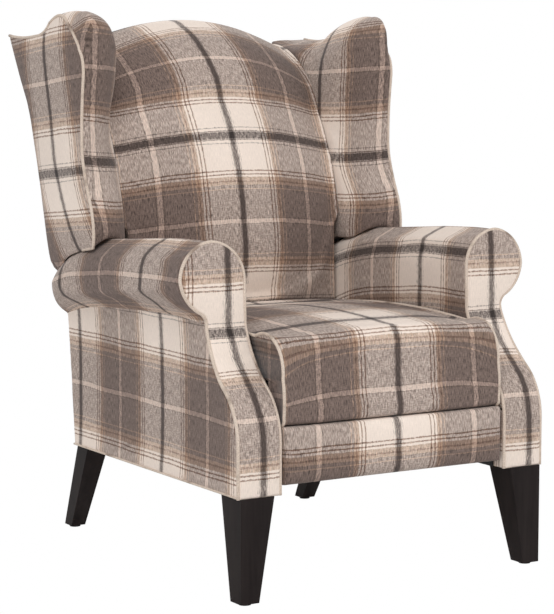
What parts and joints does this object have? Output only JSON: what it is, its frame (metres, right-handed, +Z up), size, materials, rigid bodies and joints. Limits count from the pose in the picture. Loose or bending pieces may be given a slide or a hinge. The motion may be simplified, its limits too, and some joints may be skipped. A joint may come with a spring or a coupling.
{
  "type": "wing recliner",
  "caption": "Wing-back push-back recliner with rolled arms, a crowned seat and back in tartan fabric, a fold-out footrest and tapered dark legs.",
  "frame": {"origin": "middle of the footprint on the floor", "axes": "+Z up, -Y the way the chair faces, +X to the right of a viewer in front of it"},
  "size_m": [0.7508, 0.8933, 1.0475],
  "materials": {
    "check_fabric": "woven beige, taupe and charcoal tartan check",
    "leg_wood": "dark stained satin lacquer",
    "frame_wood": "raw planed hardwood and plywood",
    "black_steel": "black powder coat",
    "zinc_steel": "zinc plated",
    "spring_wire": "oiled wire",
    "glide_plastic": "moulded",
    "slide_plastic": "natural nylon"
  },
  "bodies": {
    "base": {"leg_front_left": "leg_wood", "leg_front_right": "leg_wood", "leg_rear_left": "leg_wood", "leg_rear_right": "leg_wood", "side_rail_left": "frame_wood", "side_rail_right": "frame_wood", "arm_board_left": "frame_wood", "arm_board_right": "frame_wood", "arm_pad_left": "check_fabric", "arm_pad_right": "check_fabric", "arm_facing_left": "check_fabric", "arm_facing_right": "check_fabric", "base_plate_left": "black_steel", "base_plate_right": "black_steel", "foot_glides": "glide_plastic", "leg_bolts": "zinc_steel", "rear_rail": "frame_wood", "front_stretcher": "frame_wood", "rear_panel": "check_fabric", "plate_screws": "zinc_steel", "guide_pins": "zinc_steel"},
    "seat": {"seat_plate_left": "black_steel", "seat_plate_right": "black_steel", "seat_side_board_left": "frame_wood", "seat_side_board_right": "frame_wood", "seat_front_board": "frame_wood", "seat_rear_board": "frame_wood", "seat_springs": "spring_wire", "seat_cushion": "check_fabric", "slide_blocks": "slide_plastic"},
    "back": {"back_post_left": "frame_wood", "back_post_right": "frame_wood", "back_bracket_left": "black_steel", "back_bracket_right": "black_steel", "wing_left": "check_fabric", "wing_right": "check_fabric", "wing_board_left": "frame_wood", "wing_board_right": "frame_wood", "back_top_rail": "frame_wood", "back_mid_rail": "frame_wood", "back_bottom_rail": "frame_wood", "back_springs": "spring_wire", "outside_back": "check_fabric", "back_pivot_pins": "zinc_steel", "back_cushion": "check_fabric"},
    "tong_inner_links_1": {"tong_inner_1_left": "black_steel", "tong_inner_1_right": "black_steel"},
    "tong_outer_links_1": {"tong_outer_1_left": "black_steel", "tong_outer_1_right": "black_steel"},
    "tong_inner_links_2": {"tong_inner_2_left": "black_steel", "tong_inner_2_right": "black_steel"},
    "tong_outer_links_2": {"tong_outer_2_left": "black_steel", "tong_outer_2_right": "black_steel"},
    "tong_outer_links_3": {"tong_outer_3_left": "black_steel", "tong_outer_3_right": "black_steel"},
    "footrest": {"footrest_arm_left": "black_steel", "footrest_arm_right": "black_steel", "footrest_board": "frame_wood", "footrest_pad": "check_fabric"}
  },
  "joints": [
    {"name": "recline", "type": "hinge", "parent": "seat", "child": "back", "pos_m": [0, 0.222, 0.3], "axis": [-1, 0, 0], "range_deg": [0, 28]},
    {"name": "seat_slide", "type": "slide", "parent": "base", "child": "seat", "axis": [0, -1, 0], "range_m": [0, 0.07501]},
    {"name": "tong_inner_1_turn", "type": "hinge", "parent": "seat", "child": "tong_inner_links_1", "pos_m": [0, -0.319, 0.288], "axis": [-1, 0, 0], "range_deg": [0, 73.7]},
    {"name": "tong_outer_1_turn", "type": "hinge", "parent": "tong_inner_links_1", "child": "tong_outer_links_1", "pos_m": [0, -0.33088, 0.2446], "axis": [1, 0, 0], "range_deg": [0, 147.41]},
    {"name": "tong_outer_2_turn", "type": "hinge", "parent": "tong_inner_links_1", "child": "tong_outer_links_2", "pos_m": [0, -0.34276, 0.20119], "axis": [1, 0, 0], "range_deg": [0, 147.41]},
    {"name": "tong_inner_2_turn", "type": "hinge", "parent": "tong_outer_links_1", "child": "tong_inner_links_2", "pos_m": [0, -0.3319, 0.28958], "axis": [-1, 0, 0], "range_deg": [0, 147.41]},
    {"name": "tong_outer_3_turn", "type": "hinge", "parent": "tong_inner_links_2", "child": "tong_outer_links_3", "pos_m": [0, -0.35566, 0.20278], "axis": [1, 0, 0], "range_deg": [0, 147.41]},
    {"name": "footrest_turn", "type": "hinge", "parent": "tong_outer_links_2", "child": "footrest", "pos_m": [0, -0.34481, 0.29117], "axis": [-1, 0, 0], "range_deg": [0, 147.41]}
  ],
  "couplings": [
    {"joint": "seat_slide", "follows": "recline", "m_per_rad": 0.15347},
    {"joint": "tong_inner_1_turn", "follows": "recline", "ratio": 2.632},
    {"joint": "tong_outer_1_turn", "follows": "recline", "ratio": 5.2639},
    {"joint": "tong_outer_2_turn", "follows": "recline", "ratio": 5.2639},
    {"joint": "tong_inner_2_turn", "follows": "recline", "ratio": 5.2639},
    {"joint": "tong_outer_3_turn", "follows": "recline", "ratio": 5.2639},
    {"joint": "footrest_turn", "follows": "recline", "ratio": 5.2639}
  ]
}
